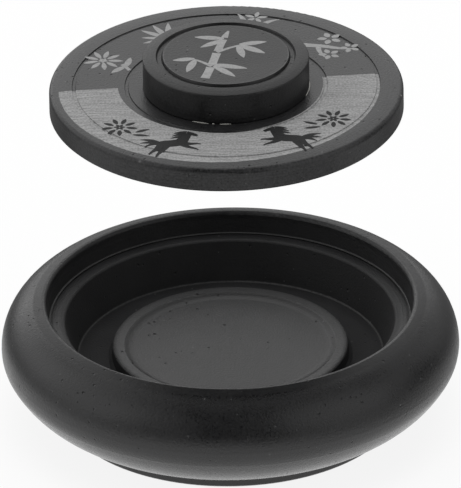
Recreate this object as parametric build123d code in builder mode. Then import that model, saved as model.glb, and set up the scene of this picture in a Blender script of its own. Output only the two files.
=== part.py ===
from build123d import *

import os

# A round ink stone of dark stone with a lift-off lid, in millimetres.
# The bowl stands on its foot ring at z = 0, with its axis on +Z. The lid is a flat turned plate
# with a round knob glued on top, and it is held straight above its seat.

# Bowl, outside: a fat round rim, a quick turn at the belly, a tapered underside and a foot ring
body_radius = 63.5
belly_height = 19.2
rim_section_radius = 14.6
belly_turn_radius = 9.0
belly_turn_angle = 28.5
foot_inset = 16.15
foot_width = 5.0
foot_height = 3.0
foot_edge_chamfer = 0.4
base_recess = 2.2

# Bowl, mouth: a stepped seat that takes the lid about flush with the rim
rim_width = 13.3
seat_depth = 6.7
mouth_flare = 1.0
mouth_edge_radius = 1.2
seat_foot_radius = 0.35
relief_margin = 0.5
relief_width = 0.45
relief_depth = 0.3
ledge_width = 4.4
ledge_edge_radius = 0.8

# Bowl, well: a moat for the ink around a raised, shallowly dished grinding disc
well_depth = 11.5
well_inset = 3.3
moat_width = 9.9
moat_fillet = 0.6
disc_rise = 3.8
disc_slope = 0.5
disc_foot_chamfer = 0.8
disc_edge_chamfer = 0.35
disc_border = 3.2
dish_depth = 0.8
dish_slope = 1.4
dish_edge_radius = 0.3
dish_hollow_radius = 5.0

# Lid: a plate that drops into the seat, with two turned rings on its face and a crowned border
lid_clearance = 1.4
lid_proud = 0.5
lid_crown_drop = 0.5
lid_crown_radius = 45.0
lid_shoulder_radius = 1.3
lid_bottom_chamfer = 0.5
lid_lift = 65.9
outer_ring_inset = 6.3
inner_ring_margin = 5.1
scribe_width = 1.1
scribe_slope = 0.15
scribe_depth = 0.3

# Knob: a low stone cylinder, glued to the lid, with a turned ring in its crowned top
knob_radius = 22.9
knob_height = 9.5
knob_crown_drop = 0.75
knob_crown_radius = 16.0
knob_edge_radius = 0.4
knob_foot_chamfer = 0.3
knob_ring_inset = 3.6
knob_ring_width = 1.9
knob_ring_slope = 0.4
knob_ring_depth = 0.75

# One overrun past the crest or a face serves every cut
overrun = 2.0

# Radii, from the outside in
rim_centre = body_radius - rim_section_radius
belly_turn_centre = body_radius - belly_turn_radius
foot_radius = body_radius - foot_inset
seat_radius = body_radius - rim_width
well_radius = seat_radius - ledge_width
moat_radius = well_radius - well_inset
disc_radius = moat_radius - moat_width
dish_radius = disc_radius - disc_border
lid_radius = seat_radius - lid_clearance
lid_crown_inner_radius = lid_radius - outer_ring_inset - scribe_width / 2
knob_crown_inner_radius = knob_radius - knob_ring_inset - knob_ring_width / 2

# Heights, from the crest down, then up through the lid and the knob
crest_height = belly_height + rim_section_radius
ledge_height = crest_height - seat_depth
moat_height = ledge_height - well_depth
disc_height = moat_height + disc_rise
dish_height = disc_height - dish_depth
lid_thickness = seat_depth + lid_proud
lid_bottom = ledge_height + lid_lift
lid_top = lid_bottom + lid_thickness
lid_shoulder_height = lid_top - lid_crown_drop
knob_top = lid_top + knob_height
knob_shoulder_height = knob_top - knob_crown_drop

os.makedirs("parts", exist_ok=True)


def nearest(sketch, radius, height):
    """The corner of a half section that lies at this radius and height."""
    return sketch.vertices().sort_by_distance((radius, height))[0]


def turned_groove(outer_radius, width, slope, depth, height):
    """A flat-bottomed groove with sloping walls, turned into a face at this height."""
    with BuildSketch(Plane.XZ) as section:
        with BuildLine():
            Polyline(
                (outer_radius, height + overrun),
                (outer_radius, height),
                (outer_radius - slope, height - depth),
                (outer_radius - width + slope, height - depth),
                (outer_radius - width, height),
                (outer_radius - width, height + overrun),
                close=True,
            )
        make_face()
    revolve(section.sketch, axis=Axis.Z, mode=Mode.SUBTRACT)


# The bowl is one turned stone. Its half section is the outer shape with the foot's recess, less
# the hollow of the mouth, seat, moat and grinding disc.
with BuildPart() as bowl:
    foot_inner_radius = foot_radius - foot_width
    relief_radius = seat_radius - relief_margin
    disc_foot_radius = disc_radius + disc_slope
    dish_floor_radius = dish_radius - dish_slope
    with BuildSketch(Plane.XZ) as section:
        with BuildLine():
            belly = CenterArc(
                (belly_turn_centre, belly_height), belly_turn_radius, 0, -belly_turn_angle
            )
            TangentArc(belly @ 1, (foot_radius, foot_height), tangent=belly % 1)
            Polyline(
                (foot_radius, foot_height),
                (foot_radius, 0),
                (foot_inner_radius, 0),
                (foot_inner_radius, base_recess),
                (0, base_recess),
                (0, crest_height),
                (rim_centre, crest_height),
            )
            CenterArc((rim_centre, belly_height), rim_section_radius, 0, 90)
        make_face()
        with BuildLine():
            Polyline(
                (0, crest_height + overrun),
                (seat_radius + mouth_flare, crest_height + overrun),
                (seat_radius, ledge_height),
                (relief_radius, ledge_height),
                (relief_radius, ledge_height - relief_depth),
                (relief_radius - relief_width, ledge_height - relief_depth),
                (relief_radius - relief_width, ledge_height),
                (well_radius, ledge_height),
                (moat_radius, moat_height),
                (disc_foot_radius, moat_height),
                (disc_radius, disc_height),
                (dish_radius, disc_height),
                (dish_floor_radius, dish_height),
                (0, dish_height),
                close=True,
            )
        make_face(mode=Mode.SUBTRACT)
        fillet(nearest(section, seat_radius + mouth_flare, crest_height), mouth_edge_radius)
        fillet(nearest(section, seat_radius, ledge_height), seat_foot_radius)
        fillet(nearest(section, well_radius, ledge_height), ledge_edge_radius)
        fillet(nearest(section, moat_radius, moat_height), moat_fillet)
        fillet(nearest(section, dish_radius, disc_height), dish_edge_radius)
        fillet(nearest(section, dish_floor_radius, dish_height), dish_hollow_radius)
        chamfer(nearest(section, disc_foot_radius, moat_height), disc_foot_chamfer)
        chamfer(nearest(section, disc_radius, disc_height), disc_edge_chamfer)
        chamfer(nearest(section, foot_radius, 0), foot_edge_chamfer)
        chamfer(nearest(section, foot_inner_radius, 0), foot_edge_chamfer)
    revolve(axis=Axis.Z)
bowl.part.label = "bowl"
export_step(bowl.part, "parts/bowl.step")

# The lid is a turned plate. Its face is flat out to the middle of the outer scribed ring, and from
# there a faint crown falls to the rounded shoulder. The inner ring is scribed around the knob.
with BuildPart() as lid:
    with BuildSketch(Plane.XZ) as section:
        with BuildLine():
            Polyline(
                (lid_crown_inner_radius, lid_top),
                (0, lid_top),
                (0, lid_bottom),
                (lid_radius, lid_bottom),
                (lid_radius, lid_shoulder_height),
            )
            RadiusArc(
                (lid_radius, lid_shoulder_height),
                (lid_crown_inner_radius, lid_top),
                -lid_crown_radius,
            )
        make_face()
        fillet(nearest(section, lid_radius, lid_shoulder_height), lid_shoulder_radius)
        chamfer(nearest(section, lid_radius, lid_bottom), lid_bottom_chamfer)
    revolve(axis=Axis.Z)
    turned_groove(
        lid_radius - outer_ring_inset, scribe_width, scribe_slope, scribe_depth, lid_top
    )
    turned_groove(
        knob_radius + inner_ring_margin, scribe_width, scribe_slope, scribe_depth, lid_top
    )
lid.part.label = "lid"
export_step(lid.part, "parts/lid.step")

# The knob stands on the lid's face. Its border is crowned from the middle of its turned ring to
# a crisp edge, and a fine chamfer at its foot takes the glue line.
with BuildPart() as knob:
    with BuildSketch(Plane.XZ) as section:
        with BuildLine():
            Polyline(
                (knob_crown_inner_radius, knob_top),
                (0, knob_top),
                (0, lid_top),
                (knob_radius, lid_top),
                (knob_radius, knob_shoulder_height),
            )
            RadiusArc(
                (knob_radius, knob_shoulder_height),
                (knob_crown_inner_radius, knob_top),
                -knob_crown_radius,
            )
        make_face()
        fillet(nearest(section, knob_radius, knob_shoulder_height), knob_edge_radius)
        chamfer(nearest(section, knob_radius, lid_top), knob_foot_chamfer)
    revolve(axis=Axis.Z)
    turned_groove(
        knob_radius - knob_ring_inset, knob_ring_width, knob_ring_slope, knob_ring_depth, knob_top
    )
knob.part.label = "knob"
export_step(knob.part, "parts/knob.step")
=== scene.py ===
import math

import bmesh
import bpy
from mathutils import Matrix, Vector


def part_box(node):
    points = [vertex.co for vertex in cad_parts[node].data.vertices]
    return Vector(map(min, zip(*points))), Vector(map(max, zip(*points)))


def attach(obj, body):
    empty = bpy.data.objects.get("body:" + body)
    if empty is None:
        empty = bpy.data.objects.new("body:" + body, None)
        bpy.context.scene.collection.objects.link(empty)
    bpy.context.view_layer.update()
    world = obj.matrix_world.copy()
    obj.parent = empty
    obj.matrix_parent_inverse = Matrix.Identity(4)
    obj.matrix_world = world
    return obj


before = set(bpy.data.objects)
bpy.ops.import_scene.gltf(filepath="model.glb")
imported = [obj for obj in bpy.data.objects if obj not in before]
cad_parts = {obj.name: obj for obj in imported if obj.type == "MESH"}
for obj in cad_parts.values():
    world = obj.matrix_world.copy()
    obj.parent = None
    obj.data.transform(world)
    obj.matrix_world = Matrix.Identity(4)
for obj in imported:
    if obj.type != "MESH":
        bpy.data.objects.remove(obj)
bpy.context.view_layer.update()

# The bowl.
# One piece of black stone, turned on a lathe and rubbed down with fine grit under wax. It is satin,
# close-grained and a little cloudy, with light specks and small pits. Pale rings along its edges and
# inner corners are painted highlights, and on the outer edges partly wear from use.
MM = 0.001
stone_ior = 1.55
speck_colour = "#454545"
pit_colour = "#101010"

# Sizes and spacings of the patterns in millimetres. The real grain and turning lines are finer
# than 0.1 mm, and both are drawn as coarse as they need to show
cloud_size = 13.0
grain_size = 0.6
grain_height = 0.085
turning_pitch = 0.45
speck_spacing = 2.6
pit_spacing = 1.5

# How strongly each pattern works on the tone, the roughness and the relief
grain_in_tone = 1.6
turning_in_tone = 0.3
darkest_tone = 1.1
palest_tone = 1.8
thin_cloud = 0.3
thick_cloud = 0.7
smoother_by = 0.03
rougher_by = 0.05
grain_in_roughness = 0.28
turning_in_relief = 0.2
pit_in_relief = -4.0

# A cell of the pattern has a speck or a pit when its random value passes the share. The reach is
# that of the largest one, in cells. In the middle of a pitted patch the share drops
speck_share = 0.72
speck_reach = 0.13
pit_share = 0.88
pit_share_drop = 0.75
pit_reach = 0.34

# How far from its middle a pale place or a dull place is full and has faded, in parts of its width
pale_place_full = 0.5
pale_place_faded = 1.35
pale_place_ragged = 0.9
dull_faded = 1.25


def linear(hex_colour):
    """The linear colour of an sRGB hex value."""
    channels = [int(hex_colour[i : i + 2], 16) / 255 for i in (1, 3, 5)]
    return [c / 12.92 if c <= 0.04045 else ((c + 0.055) / 1.055) ** 2.4 for c in channels] + [1]


def add(tree, kind, links=None, **settings):
    """A node with its settings, and with each named input linked or given its value."""
    node = tree.nodes.new(kind)
    for name, value in settings.items():
        setattr(node, name, value)
    for socket, source in (links or {}).items():
        if hasattr(source, "is_output"):
            tree.links.new(source, node.inputs[socket])
        else:
            node.inputs[socket].default_value = source
    return node


def inside(tree, place, centre, full, faded):
    """1 up to the full distance from a centre and 0 from the faded one on, all in millimetres."""
    away = add(
        tree, "ShaderNodeVectorMath", {0: place, 1: Vector(centre) * MM}, operation="DISTANCE"
    )
    nearness = add(
        tree, "ShaderNodeMapRange",
        {"Value": away.outputs["Value"], "From Min": faded * MM, "From Max": full * MM},
    )
    return nearness.outputs[0]


def waxed_stone(name, dark, pale, roughness, highlit_and_worn_rings=(), marks=(), pitted=(), dull=()):
    """Turned and waxed black stone, with its pale rings, marks, pitted patches and dull places.

    Pale rings of painted highlight and wear, and dull places, go round the axis: radius, height,
    width, and colour or roughness.
    Marks and pitted patches are spots: place, width, and a mark's colour.
    """
    material = bpy.data.materials.new(name)
    material.use_nodes = True
    tree = material.node_tree
    shader = tree.nodes["Principled BSDF"]
    shader.inputs["IOR"].default_value = stone_ior
    place = add(tree, "ShaderNodeTexCoord").outputs["Object"]

    # The patterns are cloud and grain in the stone, and lines that the tool left along the section
    cloud = add(
        tree, "ShaderNodeTexNoise", {"Vector": place, "Scale": 1 / (cloud_size * MM), "Detail": 4.0}
    ).outputs[0]
    grain = add(
        tree, "ShaderNodeTexNoise", {"Vector": place, "Scale": 1 / (grain_size * MM), "Detail": 3.0}
    ).outputs[0]
    level = add(tree, "ShaderNodeVectorMath", {0: place, 1: (1, 1, 0)}, operation="MULTIPLY")
    radius = add(
        tree, "ShaderNodeVectorMath", {0: level.outputs[0]}, operation="LENGTH"
    ).outputs["Value"]
    height = add(tree, "ShaderNodeSeparateXYZ", {0: place}).outputs["Z"]
    section = add(tree, "ShaderNodeCombineXYZ", {"X": radius, "Y": height}).outputs[0]
    along = add(tree, "ShaderNodeMath", {0: radius, 1: height}, operation="ADD")
    turning = add(
        tree, "ShaderNodeTexNoise",
        {"W": along.outputs[0], "Scale": 1 / (turning_pitch * MM), "Detail": 2.0},
        noise_dimensions="1D",
    ).outputs[0]

    # Specks are sharp. Pits are deepest in the middle, and crowd together in the pitted patches
    speck = add(tree, "ShaderNodeTexVoronoi", {"Vector": place, "Scale": 1 / (speck_spacing * MM)})
    speck_value = add(tree, "ShaderNodeSeparateColor", {0: speck.outputs["Color"]})
    speck_size = add(
        tree, "ShaderNodeMapRange",
        {
            "Value": speck_value.outputs[0],
            "From Min": speck_share,
            "From Max": 1.0,
            "To Max": speck_reach,
        },
    )
    in_speck = add(
        tree, "ShaderNodeMath", {0: speck.outputs["Distance"], 1: speck_size.outputs[0]},
        operation="LESS_THAN",
    )
    least_value = pit_share
    for centre, width in pitted:
        crowding = inside(tree, place, centre, 0.0, width)
        least_value = add(
            tree, "ShaderNodeMath", {0: crowding, 1: -pit_share_drop, 2: least_value},
            operation="MULTIPLY_ADD",
        ).outputs[0]
    pit = add(tree, "ShaderNodeTexVoronoi", {"Vector": place, "Scale": 1 / (pit_spacing * MM)})
    pit_value = add(tree, "ShaderNodeSeparateColor", {0: pit.outputs["Color"]})
    pit_size = add(
        tree, "ShaderNodeMapRange",
        {
            "Value": pit_value.outputs[0],
            "From Min": least_value,
            "From Max": 1.0,
            "To Max": pit_reach,
        },
    )
    in_pit = add(
        tree, "ShaderNodeMapRange",
        {"Value": pit.outputs["Distance"], "From Min": pit_size.outputs[0], "From Max": 0.0},
    ).outputs[0]

    # The stone wanders between its two blacks, and specks, pits, marks and the pale rings of painted
    # highlight and wear lie over it
    grained = add(
        tree, "ShaderNodeMath", {0: grain, 1: grain_in_tone, 2: cloud}, operation="MULTIPLY_ADD"
    )
    tone = add(
        tree, "ShaderNodeMath", {0: turning, 1: turning_in_tone, 2: grained.outputs[0]},
        operation="MULTIPLY_ADD",
    )
    paleness = add(
        tree, "ShaderNodeMapRange",
        {"Value": tone.outputs[0], "From Min": darkest_tone, "From Max": palest_tone},
    )
    colour = add(
        tree, "ShaderNodeMix",
        {"Factor": paleness.outputs[0], 6: linear(dark), 7: linear(pale)}, data_type="RGBA",
    ).outputs[2]
    layers = [(in_speck.outputs[0], speck_colour), (in_pit, pit_colour)]
    # Pale rings are painted highlights of edges and inner corners, and partly wear. Marks are wear
    highlit_and_worn = [(section, (r, z, 0), width, pale_colour) for r, z, width, pale_colour in highlit_and_worn_rings]
    highlit_and_worn += [(place, centre, width, pale_colour) for centre, width, pale_colour in marks]
    for source, centre, width, pale_colour in highlit_and_worn:
        away = add(
            tree, "ShaderNodeVectorMath", {0: source, 1: Vector(centre) * MM}, operation="DISTANCE"
        )
        ragged = add(
            tree, "ShaderNodeMath",
            {0: grain, 1: pale_place_ragged * width * MM, 2: away.outputs["Value"]},
            operation="MULTIPLY_ADD",
        )
        wear_and_highlight = add(
            tree, "ShaderNodeMapRange",
            {
                "Value": ragged.outputs[0],
                "From Min": pale_place_faded * width * MM,
                "From Max": pale_place_full * width * MM,
            },
            interpolation_type="SMOOTHSTEP",
        )
        layers.append((wear_and_highlight.outputs[0], pale_colour))
    for share, layer_colour in layers:
        colour = add(
            tree, "ShaderNodeMix", {"Factor": share, 6: colour, 7: linear(layer_colour)},
            data_type="RGBA",
        ).outputs[2]

    # The wax lies unevenly with the cloud, is thin in the dull places, and shows the grain
    wax = add(
        tree, "ShaderNodeMapRange",
        {
            "Value": cloud,
            "From Min": thin_cloud,
            "From Max": thick_cloud,
            "To Min": roughness - smoother_by,
            "To Max": roughness + rougher_by,
        },
    ).outputs[0]
    for r, z, width, dull_roughness in dull:
        dullness = inside(tree, section, (r, z, 0), width, dull_faded * width)
        wax = add(
            tree, "ShaderNodeMix", {"Factor": dullness, 2: wax, 3: dull_roughness}
        ).outputs[0]
    grained_wax = add(
        tree, "ShaderNodeMath", {0: grain, 1: grain_in_roughness, 2: wax}, operation="MULTIPLY_ADD"
    )
    evened_wax = add(
        tree, "ShaderNodeMath", {0: grained_wax.outputs[0], 1: grain_in_roughness / 2},
        operation="SUBTRACT",
    )
    pitted_grain = add(
        tree, "ShaderNodeMath", {0: in_pit, 1: pit_in_relief, 2: grain}, operation="MULTIPLY_ADD"
    )
    relief = add(
        tree, "ShaderNodeMath", {0: turning, 1: turning_in_relief, 2: pitted_grain.outputs[0]},
        operation="MULTIPLY_ADD",
    )
    bump = add(
        tree, "ShaderNodeBump", {"Height": relief.outputs[0], "Distance": grain_height * MM}
    )
    tree.links.new(colour, shader.inputs["Base Color"])
    tree.links.new(evened_wax.outputs[0], shader.inputs["Roughness"])
    tree.links.new(bump.outputs[0], shader.inputs["Normal"])
    return material


def refinish(node, material):
    """The finish of a turned piece, in all its slots."""
    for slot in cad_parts[node].material_slots:
        slot.material = material


# The pale rings are painted highlights on the edges and in the inner corners of the seat and moat,
# and on the outer edges partly wear where hands, lid and ink stick touch them. The walls, the moat
# and the lip were hard to reach with the grit and stay dull, and the taper above the foot came out
# smoothest
bowl_stone = waxed_stone(
    "bowl_waxed_stone", "#141415", "#242425", 0.3,
    highlit_and_worn_rings=(
        (51.6, 33.5, 0.4, "#464646"),
        (50.0, 27.1, 0.4, "#464646"),
        (45.5, 27.0, 0.5, "#3c3c3c"),
        (42.3, 15.8, 0.45, "#424242"),
        (32.4, 19.3, 0.4, "#444444"),
        (29.2, 19.3, 0.35, "#3a3a3a"),
        (47.3, 0.2, 0.4, "#3a3a3a"),
    ),
    marks=(
        ((-17.8, -58.0, 8.6), 0.5, "#4a4a4a"),
        ((6.2, -56.0, 5.4), 0.5, "#4a4a4a"),
        ((16.7, -56.0, 5.8), 0.4, "#505050"),
    ),
    pitted=(((-37, -47, 29), 12), ((33, -49, 29.5), 12), ((-55, -8, 32.4), 10)),
    dull=(
        (16.0, 18.6, 15.5, 0.37),
        (48.0, 27.0, 2.4, 0.45),
        (38.0, 15.6, 6.2, 0.75),
        (45.0, 22.5, 4.2, 0.72),
        (51.0, 30.3, 3.0, 0.6),
        (52.0, 33.6, 2.4, 0.45),
        (55.5, 8.5, 9.0, 0.24),
    ),
)
refinish("bowl", bowl_stone)

# The lid.
# A turned plate of the same stone, that drops into the bowl's seat. Half of the ring between its
# two scribed lines is etched with a laser, which leaves a matt grey ground in fine straight passes.
lid_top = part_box("lid")[1].z / MM
lid_stone = waxed_stone(
    "lid_waxed_stone", "#0e0e0f", "#323233", 0.33,
    marks=(
        ((-23.9, -42.1, lid_top - 0.8), 0.8, "#555555"),
        ((48.0, -6.2, lid_top - 0.8), 0.6, "#8a8a88"),
    ),
    pitted=(((-37, 8, lid_top), 14), ((38, 18, lid_top), 12), ((-2, -48.8, lid_top - 4.7), 5)),
)
refinish("lid", lid_stone)

# The two edges of the etching are circles that don't share the lid's middle. It ends across the
# lid on a line that is turned a little, and goes down into the scribed line but not the side
etch_inner_centre = (-1.6, 0.8, 0)
etch_inner_radius = 28.2
etch_outer_centre = (-1.95, -0.5, 0)
etch_outer_radius = 44.3
etch_end = 2.0
etch_turn = math.radians(4.94)
etch_depth = 1.0
etch_full_depth = 0.9
etch_fade = 0.12
edge_wander = 0.5
edge_wander_size = 1.2

# The laser's real passes are some 0.05 mm wide, and are drawn as coarse as they need to show
pass_length = 6.0
pass_width = 0.5
frost_in_tone = 1.2
darkest_etching = 0.8
palest_etching = 1.4
etched_roughness = 0.75


def etched_ground(tree, place, pale, dark):
    """The colour of stone etched by a laser: matt grey, brushed by the fine passes of the beam."""
    passes = add(
        tree, "ShaderNodeMapping",
        {
            "Vector": place,
            "Rotation": (0, 0, -etch_turn),
            "Scale": (1 / (pass_length * MM), 1 / (pass_width * MM), 1 / (pass_length * MM)),
        },
    )
    streak = add(
        tree, "ShaderNodeTexNoise", {"Vector": passes.outputs[0], "Scale": 1.0, "Detail": 3.0}
    )
    frost = add(
        tree, "ShaderNodeTexNoise", {"Vector": place, "Scale": 1 / (grain_size * MM), "Detail": 2.0}
    )
    frosted = add(
        tree, "ShaderNodeMath",
        {0: frost.outputs[0], 1: frost_in_tone, 2: streak.outputs[0]}, operation="MULTIPLY_ADD",
    )
    paleness = add(
        tree, "ShaderNodeMapRange",
        {"Value": frosted.outputs[0], "From Min": darkest_etching, "From Max": palest_etching},
    )
    return add(
        tree, "ShaderNodeMix",
        {"Factor": paleness.outputs[0], 6: linear(dark), 7: linear(pale)}, data_type="RGBA",
    ).outputs[2]


tree = lid_stone.node_tree
place = add(tree, "ShaderNodeTexCoord").outputs["Object"]
level = add(tree, "ShaderNodeVectorMath", {0: place, 1: (1, 1, 0)}, operation="MULTIPLY")
from_inner, from_outer = (
    add(
        tree, "ShaderNodeVectorMath", {0: level.outputs[0], 1: Vector(centre) * MM},
        operation="DISTANCE",
    ).outputs["Value"]
    for centre in (etch_inner_centre, etch_outer_centre)
)
wander = add(
    tree, "ShaderNodeTexNoise",
    {"Vector": place, "Scale": 1 / (edge_wander_size * MM), "Detail": 2.0},
)
wandering = add(
    tree, "ShaderNodeMath", {0: wander.outputs[0], 1: edge_wander * MM, 2: from_outer},
    operation="MULTIPLY_ADD",
)
across = add(
    tree, "ShaderNodeVectorMath",
    {0: place, 1: (-math.sin(etch_turn), math.cos(etch_turn), 0)}, operation="DOT_PRODUCT",
)
height = add(tree, "ShaderNodeSeparateXYZ", {0: place})
outer_edge = etch_outer_radius + edge_wander / 2
etched_share = 1.0
for source, faded, full in (
    (from_inner, etch_inner_radius, etch_inner_radius + etch_fade),
    (wandering.outputs[0], outer_edge, outer_edge - etch_fade),
    (across.outputs["Value"], etch_end, etch_end - etch_fade),
    (height.outputs["Z"], lid_top - etch_depth, lid_top - etch_full_depth),
):
    limit = add(
        tree, "ShaderNodeMapRange",
        {"Value": source, "From Min": faded * MM, "From Max": full * MM},
    )
    etched_share = add(
        tree, "ShaderNodeMath", {0: etched_share, 1: limit.outputs[0]}, operation="MULTIPLY"
    ).outputs[0]
etched = add(
    tree, "ShaderNodeBsdfPrincipled",
    {
        "Base Color": etched_ground(tree, place, "#a2a2a2", "#747474"),
        "Roughness": etched_roughness,
    },
)
etched_lid = add(
    tree, "ShaderNodeMixShader",
    {0: etched_share, 1: tree.nodes["Principled BSDF"].outputs[0], 2: etched.outputs[0]},
)
tree.links.new(etched_lid.outputs[0], tree.nodes["Material Output"].inputs["Surface"])

# The knob.
# A low turned drum of the same stone, stuck to the middle of the lid. Its foot shows a thin line of
# milky glue that wasn't wiped away, in three short runs at the front and one at the right. The glue's
# pale colour is partly its own milk and partly a painted glint on the glossy bead.
knob_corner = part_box("knob")[1]
knob_top = knob_corner.z / MM
knob_radius = knob_corner.x / MM
# Its two pale rings, at the groove's edge and round the top's outer edge, are painted highlights and
# partly wear
knob_stone = waxed_stone(
    "knob_waxed_stone", "#080808", "#202021", 0.4,
    highlit_and_worn_rings=((17.2, knob_top, 0.3, "#343434"), (22.6, knob_top - 1.0, 0.4, "#343434")),
)
refinish("knob", knob_stone)

# The glue is a bead in millimetres that thins out at the ends of a run, drawn in steps of degrees
glue_radius = 0.21
glue_thinnest = 0.35
glue_step = 3.0
fewest_steps = 4
milk_and_glint_size = 1.0
weld_distance = 0.0002
dried_glue = bpy.data.materials.new("dried_glue")
dried_glue.use_nodes = True
tree = dried_glue.node_tree
resin = tree.nodes["Principled BSDF"]
resin.inputs["Roughness"].default_value = 0.3
resin.inputs["IOR"].default_value = 1.5
place = add(tree, "ShaderNodeTexCoord").outputs["Object"]
# The glue's colour runs from grey to near white: partly its milk and partly a painted glint
milk_and_glint_noise = add(
    tree, "ShaderNodeTexNoise", {"Vector": place, "Scale": 1 / (milk_and_glint_size * MM), "Detail": 2.0}
)
milk_and_glint = add(
    tree, "ShaderNodeMix",
    {"Factor": milk_and_glint_noise.outputs[0], 6: linear("#6f6e6a"), 7: linear("#d6d5cf")}, data_type="RGBA",
)
tree.links.new(milk_and_glint.outputs[2], resin.inputs["Base Color"])


def stroked(name, strokes, thickness=None):
    """Tapering strokes, each through points (x, y, half width), as one mesh in mm.

    They are round, or flattened to a thickness above and below their middle.
    """
    curve = bpy.data.curves.new(name, "CURVE")
    curve.dimensions = "3D"
    curve.bevel_depth = 1.0
    curve.bevel_resolution = 2
    curve.use_fill_caps = True
    curve.resolution_u = 6
    for points in strokes:
        spline = curve.splines.new("NURBS")
        spline.points.add(len(points) - 1)
        for point, (x, y, half_width) in zip(spline.points, points):
            point.co = (x, y, 0, 1)
            point.radius = half_width
        spline.order_u = min(4, len(points))
        spline.use_endpoint_u = True
    drawn = bpy.data.objects.new(name + "_drawn", curve)
    bpy.context.scene.collection.objects.link(drawn)
    mesh = bpy.data.meshes.new_from_object(drawn)
    bpy.data.objects.remove(drawn)
    if thickness:
        widest = max(half_width for points in strokes for x, y, half_width in points)
        mesh.transform(Matrix.Diagonal((1, 1, thickness / widest, 1)))
    return mesh


def laid(name, mesh, centre, height, turn, material, mirrored=False, rounded=False):
    """A mesh in mm, turned and laid on the lid or knob at this centre and height."""
    if mirrored:
        mesh.transform(Matrix.Diagonal((-1, 1, 1, 1)))
    mesh.transform(Matrix.Rotation(math.radians(turn), 4, "Z"))
    mesh.transform(Matrix.Translation((centre[0], centre[1], height)))
    shape = bmesh.new()
    shape.from_mesh(mesh)
    bmesh.ops.remove_doubles(shape, verts=shape.verts, dist=weld_distance)
    bmesh.ops.recalc_face_normals(shape, faces=shape.faces)
    shape.to_mesh(mesh)
    shape.free()
    mesh.transform(Matrix.Scale(MM, 4))
    mesh.materials.clear()
    mesh.materials.append(material)
    for face in mesh.polygons:
        face.use_smooth = rounded
    piece = bpy.data.objects.new(name, mesh)
    bpy.context.scene.collection.objects.link(piece)
    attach(piece, "lid_with_knob")


# Each run of glue: from and to, in degrees round the knob's foot from the front to the right
for number, (start, end) in enumerate(((-24.5, -12.5), (-10.2, -8.6), (-5.0, 3.0), (72, 96)), 1):
    count = max(fewest_steps, round((end - start) / glue_step))
    run = []
    for i in range(count + 1):
        angle = math.radians(start + (end - start) * i / count)
        swell = glue_thinnest + (1 - glue_thinnest) * math.sin(math.pi * i / count) ** 0.5
        run.append((knob_radius * math.sin(angle), -knob_radius * math.cos(angle), glue_radius * swell))
    name = "glue_run_%d" % number
    laid(name, stroked(name, [run]), (0, 0), lid_top, 0, dried_glue, rounded=True)

# The etched ornaments.
# A laser leaves them in the same matt grey, in broad brushed strokes: a spray of bamboo on the
# knob, and a chrysanthemum, a lotus, an orchid and a plum branch round the back of the lid.
ornament_radius = 35.4

# The real etching has no height. A mesh 0.02 mm proud in all is drawn where it lies on the stone
ornament_lift = 0.01
ornament_thickness = 0.01
etched_stone = bpy.data.materials.new("etched_stone")
etched_stone.use_nodes = True
tree = etched_stone.node_tree
shader = tree.nodes["Principled BSDF"]
place = add(tree, "ShaderNodeTexCoord").outputs["Object"]
tree.links.new(etched_ground(tree, place, "#a0a0a0", "#8a8a8a"), shader.inputs["Base Color"])
shader.inputs["Roughness"].default_value = etched_roughness


def leaf(x, y, length, angle, half_width):
    """A leaf or petal: a straight stroke that swells and ends in a point."""
    turn = math.radians(angle)
    return [
        (x + length * along * math.cos(turn), y + length * along * math.sin(turn), half_width * swell)
        for along, swell in ((0, 0.25), (0.3, 0.95), (0.65, 1.0), (1, 0.08))
    ]


def blossom(x, y, petals, inner, outer, half_width, start=90):
    """A ring of petals round a point."""
    flower = []
    for i in range(petals):
        angle = start + 360 * i / petals
        turn = math.radians(angle)
        foot = (x + inner * math.cos(turn), y + inner * math.sin(turn))
        flower.append(leaf(*foot, outer - inner, angle, half_width))
    return flower


bamboo = [
    [(-4.8, -13.2, 1.3), (-3.8, -9.6, 1.05), (-3.2, -6.8, 1.25)],
    [(-2.9, -5.6, 1.25), (-2.1, -2.0, 1.05), (-1.5, 1.4, 1.25)],
    [(-1.2, 2.6, 1.15), (-0.4, 6.2, 0.95), (0.4, 9.4, 1.1)],
    [(0.7, 10.5, 0.95), (1.2, 12.6, 0.8), (1.9, 14.4, 0.25)],
    [(-1.4, 2.0, 0.6), (2.2, 4.8, 0.5), (5.2, 6.0, 0.35)],
    [(-2.9, -6.2, 0.6), (-5.6, -3.4, 0.5), (-7.6, -2.2, 0.35)],
    leaf(4.8, 6.0, 8.6, -36, 1.6),
    leaf(4.8, 6.4, 7.6, 10, 1.45),
    leaf(4.4, 5.8, 7.4, -78, 1.4),
    leaf(-7.4, -2.2, 7.6, 252, 1.45),
    leaf(-7.6, -1.6, 6.0, 188, 1.35),
    leaf(0.6, 10.0, 8.2, 172, 1.45),
    leaf(0.4, 9.2, 7.6, 214, 1.4),
    leaf(-2.4, -5.2, 9.6, -16, 1.5),
    leaf(-2.4, -6.0, 8.8, -48, 1.4),
]
lotus = [leaf(0, -3.0, 9.0, angle, 1.15) for angle in (90, 62, 118)]
lotus += [leaf(0, -3.2, 7.6, angle, 1.0) for angle in (35, 145, 10, 170)]
lotus += [
    [(0.0, -3.2, 0.6), (0.5, -5.2, 0.55), (-0.5, -7.2, 0.5)],
    leaf(-0.4, -6.4, 5.0, -8, 0.9),
    leaf(-0.4, -6.4, 4.6, 190, 0.9),
]
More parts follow.
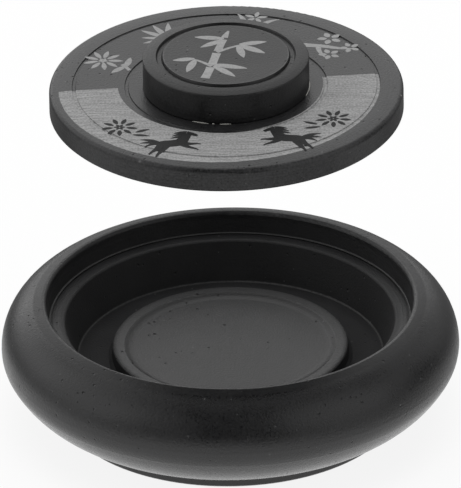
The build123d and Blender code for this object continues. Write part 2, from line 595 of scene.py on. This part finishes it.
orchid = [
    [(-1.0, -6.4, 0.8), (-4.2, -1.6, 1.15), (-6.4, 1.4, 0.9), (-8.0, 0.0, 0.08)],
    [(-0.4, -6.4, 0.8), (-2.2, 0.0, 1.2), (-3.4, 5.0, 0.95), (-5.8, 6.6, 0.08)],
    [(0.2, -6.4, 0.8), (0.6, -0.6, 1.2), (2.8, 4.4, 1.0), (6.4, 5.4, 0.08)],
    [(0.8, -6.4, 0.8), (3.4, -3.0, 1.15), (6.2, -1.4, 0.9), (8.2, -3.0, 0.08)],
]
orchid += blossom(-0.4, 5.4, 5, 0.5, 3.4, 0.85)
plum = [
    [(-7.0, -5.6, 1.2), (-3.4, -3.4, 1.0), (-1.0, 0.2, 0.85), (3.4, 1.6, 0.7), (6.8, 6.0, 0.1)],
    [(-1.6, -1.4, 0.8), (1.4, -4.0, 0.65), (5.6, -4.2, 0.1)],
]
for x, y, scale in ((-3.0, 3.8, 1.2), (4.2, -2.2, 1.05), (4.8, 4.6, 1.0)):
    plum += blossom(x, y, 5, 0.7 * scale, 2.9 * scale, 0.95 * scale)
chrysanthemum = blossom(0, 2.0, 9, 1.5, 5.6, 0.9) + blossom(0, 2.0, 5, 0.1, 1.4, 0.6, 60)
chrysanthemum += [
    [(0.0, -3.8, 0.65), (-0.8, -5.4, 0.6), (-2.4, -7.2, 0.5)],
    leaf(-0.8, -5.0, 5.2, 160, 1.2),
    leaf(-0.8, -5.4, 5.4, 12, 1.2),
]

for name, strokes, angle in (
    ("etched_chrysanthemum", chrysanthemum, 155.0),
    ("etched_lotus", lotus, 119.0),
    ("etched_orchid", orchid, 77.5),
    ("etched_plum", plum, 38.5),
):
    turn = math.radians(angle)
    laid(
        name, stroked(name, strokes, ornament_thickness),
        (ornament_radius * math.cos(turn), ornament_radius * math.sin(turn)),
        lid_top + ornament_lift, angle - 90, etched_stone,
    )
laid(
    "etched_bamboo", stroked("etched_bamboo", bamboo, ornament_thickness), (-1.0, -0.4),
    knob_top + ornament_lift, 0, etched_stone,
)

# The figures in the etched band.
# The laser spares them, so they stay in the dark stone, less its gloss: two galloping horses that
# face each other across the front, with a chrysanthemum behind each.
horse_fullness = 1.2
spared_stone = waxed_stone("spared_stone", "#101010", "#1c1c1d", 0.7)
horse = [
    [(-4.6, 0.4, 0.7), (-3.2, 0.2, 1.7), (-0.6, -0.1, 1.45), (1.8, 0.3, 1.75), (3.2, 1.1, 1.0)],
    [(2.2, 0.8, 1.5), (3.7, 2.9, 1.15), (4.5, 4.4, 0.9)],
    [(4.2, 4.6, 0.85), (5.5, 4.2, 0.75), (6.9, 3.0, 0.42)],
    [(4.5, 4.8, 0.4), (4.9, 5.5, 0.05)],
    [(4.2, 4.9, 0.6), (2.4, 5.3, 0.65), (0.6, 4.7, 0.1)],
    [(3.6, 4.2, 0.6), (1.8, 4.3, 0.65), (0.0, 3.5, 0.1)],
    [(3.0, 3.0, 0.6), (1.2, 3.1, 0.6), (-0.6, 2.5, 0.1)],
    [(3.0, -0.2, 0.85), (5.0, -1.2, 0.5), (6.4, -0.3, 0.33), (7.3, -1.2, 0.22)],
    [(2.4, -0.8, 0.85), (3.9, -2.7, 0.5), (5.7, -2.7, 0.32), (6.2, -3.8, 0.22)],
    [(-3.4, -0.6, 1.3), (-4.8, -2.4, 0.7), (-6.2, -2.9, 0.4), (-7.4, -4.4, 0.25)],
    [(-2.6, -1.0, 1.2), (-3.4, -3.2, 0.65), (-4.9, -4.3, 0.36), (-5.6, -5.7, 0.22)],
    [(-4.3, 1.0, 0.6), (-6.2, 2.6, 0.8), (-8.8, 2.8, 0.1)],
    [(-4.4, 0.8, 0.6), (-6.8, 1.5, 0.7), (-9.2, 1.1, 0.1)],
    [(-4.4, 0.4, 0.6), (-6.4, 0.5, 0.6), (-8.2, -0.8, 0.1)],
]
horse = [
    [(x, horse_fullness * y, horse_fullness * half_width) for x, y, half_width in stroke]
    for stroke in horse
]
flower = blossom(0, 0, 9, 1.9, 5.0, 0.85) + blossom(0, 0, 6, 0.2, 1.7, 0.55, 20)
flower += [leaf(5.0, -3.0, 4.6, 10, 0.8), leaf(5.2, -1.4, 4.2, 44, 0.8)]
for name, strokes, spot, turn, mirrored in (
    ("spared_horse_left", horse, (-14.6, -33.6), 6, False),
    ("spared_horse_right", horse, (16.6, -31.6), -6, True),
    ("spared_flower_left", flower, (-29.4, -23.6), -20, False),
    ("spared_flower_right", flower, (29.2, -20.6), 20, True),
):
    laid(
        name, stroked(name, strokes, ornament_thickness), spot, lid_top + ornament_lift, turn,
        spared_stone, mirrored,
    )

# The floor and the studio.
# A white table in a white room, soft and even. What the stone mirrors of it is a painted glow,
# brightest in a painted pool of light in front of the bowl, dimmer far off and in painted shade behind.
# Distances are in metres.
table_size = 12.0
table_glow = 0.88
pool_centre = (-0.028, -0.05, 0)
pool_full = 0.09
pool_faded = 0.16
far_share = 0.5
shade_start = 0.02
shade_end = 0.09
shade_share = 0.4
bpy.ops.mesh.primitive_plane_add(size=table_size)
table = bpy.context.object
table.name = "white_table"
white_paper = bpy.data.materials.new("white_paper")
white_paper.use_nodes = True
tree = white_paper.node_tree
paper = tree.nodes["Principled BSDF"]
paper.inputs["Base Color"].default_value = linear("#fafafa")
paper.inputs["Roughness"].default_value = 1.0
paper.inputs["Specular IOR Level"].default_value = 0.0
place = add(tree, "ShaderNodeTexCoord").outputs["Object"]
# The glow that the stone mirrors is painted: a pool of light by the bowl and shade behind it
away = add(tree, "ShaderNodeVectorMath", {0: place, 1: pool_centre}, operation="DISTANCE")
behind = add(tree, "ShaderNodeSeparateXYZ", {0: place})
pool, shade = (
    add(
        tree, "ShaderNodeMapRange",
        {"Value": source, "From Min": start, "From Max": end, "To Min": 1.0, "To Max": dimmed},
        interpolation_type="SMOOTHSTEP",
    ).outputs[0]
    for source, start, end, dimmed in (
        (away.outputs["Value"], pool_full, pool_faded, far_share),
        (behind.outputs["Y"], shade_start, shade_end, shade_share),
    )
)
painted_pool_glow = add(tree, "ShaderNodeMath", {0: pool, 1: shade}, operation="MULTIPLY")

# To the camera the table is mostly plain white, and for the rest lit paper, which keeps the stone's
# shadow. The stone mirrors only its glow, with the painted pool and the painted shade behind
rays = add(tree, "ShaderNodeLightPath")
mirrored_ray = add(
    tree, "ShaderNodeMath",
    {0: rays.outputs["Is Glossy Ray"], 1: rays.outputs["Is Transmission Ray"]}, operation="MAXIMUM",
)
seen = add(
    tree, "ShaderNodeMath", {0: rays.outputs["Is Camera Ray"], 1: table_glow}, operation="MULTIPLY"
)
glowing = add(
    tree, "ShaderNodeMath", {0: seen.outputs[0], 1: mirrored_ray.outputs[0]}, operation="MAXIMUM"
)
strength = add(
    tree, "ShaderNodeMix",
    {"Factor": rays.outputs["Is Camera Ray"], 2: painted_pool_glow.outputs[0], 3: 1.0},
)
glow = add(
    tree, "ShaderNodeEmission", {"Color": linear("#ffffff"), "Strength": strength.outputs[0]}
)
surface = add(
    tree, "ShaderNodeMixShader", {0: glowing.outputs[0], 1: paper.outputs[0], 2: glow.outputs[0]}
)
tree.links.new(surface.outputs[0], tree.nodes["Material Output"].inputs["Surface"])
table.data.materials.append(white_paper)

# The room is white to the camera, and for the stone it is dark but for soft panels of light
panel_core = 10
room = bpy.data.worlds.new("white_room")
bpy.context.scene.world = room
room.use_nodes = True
tree = room.node_tree
tree.nodes.clear()
rays = add(tree, "ShaderNodeLightPath")
outlook = add(tree, "ShaderNodeTexCoord")


def outward(azimuth, elevation):
    """The direction from the stone, with azimuth 0 towards the camera and 90 to its right."""
    turn = math.radians(azimuth)
    rise = math.radians(elevation)
    return Vector(
        (math.sin(turn) * math.cos(rise), -math.cos(turn) * math.cos(rise), math.sin(rise))
    )


# Each panel: azimuth, elevation, degrees from its middle to where it has faded, and brightness,
# which it keeps as far from its middle as the core
brightness = 0.0
for azimuth, elevation, reach, strength in (
    (-171, 10, 42, 1.14),
    (180, 62, 28, 0.7),
    (-142, 27, 46, 0.55),
    (143, 30, 40, 0.5),
    (-90, 25, 50, 0.97),
    (60, 28, 45, 0.85),
    (110, 20, 45, 0.1),
    (-45, 25, 40, 0.36),
    (180, 80, 45, 0.34),
):
    nearness = add(
        tree, "ShaderNodeVectorMath",
        {0: outlook.outputs["Generated"], 1: outward(azimuth, elevation)}, operation="DOT_PRODUCT",
    )
    panel = add(
        tree, "ShaderNodeMapRange",
        {
            "Value": nearness.outputs["Value"],
            "From Min": math.cos(math.radians(reach)),
            "From Max": math.cos(math.radians(panel_core)),
            "To Max": strength,
        },
        interpolation_type="SMOOTHSTEP",
    )
    brightness = add(
        tree, "ShaderNodeMath", {0: brightness, 1: panel.outputs["Result"]}, operation="ADD"
    ).outputs[0]
seen = add(tree, "ShaderNodeMix", {"Factor": rays.outputs["Is Camera Ray"], 2: brightness, 3: 1.0})
light = add(tree, "ShaderNodeBackground", {"Strength": seen.outputs[0]})
add(tree, "ShaderNodeOutputWorld", {"Surface": light.outputs[0]})

ceiling_panel = bpy.data.objects.new("ceiling_panel", bpy.data.lights.new("ceiling_panel", "AREA"))
bpy.context.scene.collection.objects.link(ceiling_panel)
ceiling_panel.data.shape = "SQUARE"
ceiling_panel.data.size = 1.6
ceiling_panel.data.energy = 16
ceiling_panel.location = (0, 0.3, 1.6)
ceiling_panel.rotation_euler = ceiling_panel.location.to_track_quat("Z", "Y").to_euler()
ceiling_panel.visible_camera = False
ceiling_panel.visible_glossy = False

# The camera.
# It stands far off with a long lens, as the photograph's nearly parallel view asks, and looks
# down at an angle between those at which the photograph shows the bowl and the lid.
camera_elevation = math.radians(28.95)
camera_roll = math.radians(-0.92)
camera_distance = 4.523
camera_lens = 1200.0
camera_sensor = 36.0
aim = Vector((0.00047, 0, 0.05055))
camera = bpy.data.objects.new("camera", bpy.data.cameras.new("camera"))
bpy.context.scene.collection.objects.link(camera)
camera.data.lens = camera_lens
camera.data.sensor_width = camera_sensor
camera.data.clip_start = 0.1
camera.data.clip_end = 40.0
camera.location = (
    0,
    -camera_distance * math.cos(camera_elevation),
    camera_distance * math.sin(camera_elevation),
)
sight = aim - camera.location
camera.rotation_euler = (
    sight.to_track_quat("-Z", "Y").to_matrix() @ Matrix.Rotation(camera_roll, 3, "Z")
).to_euler()
bpy.context.scene.camera = camera
bpy.context.scene.view_settings.view_transform = "Standard"
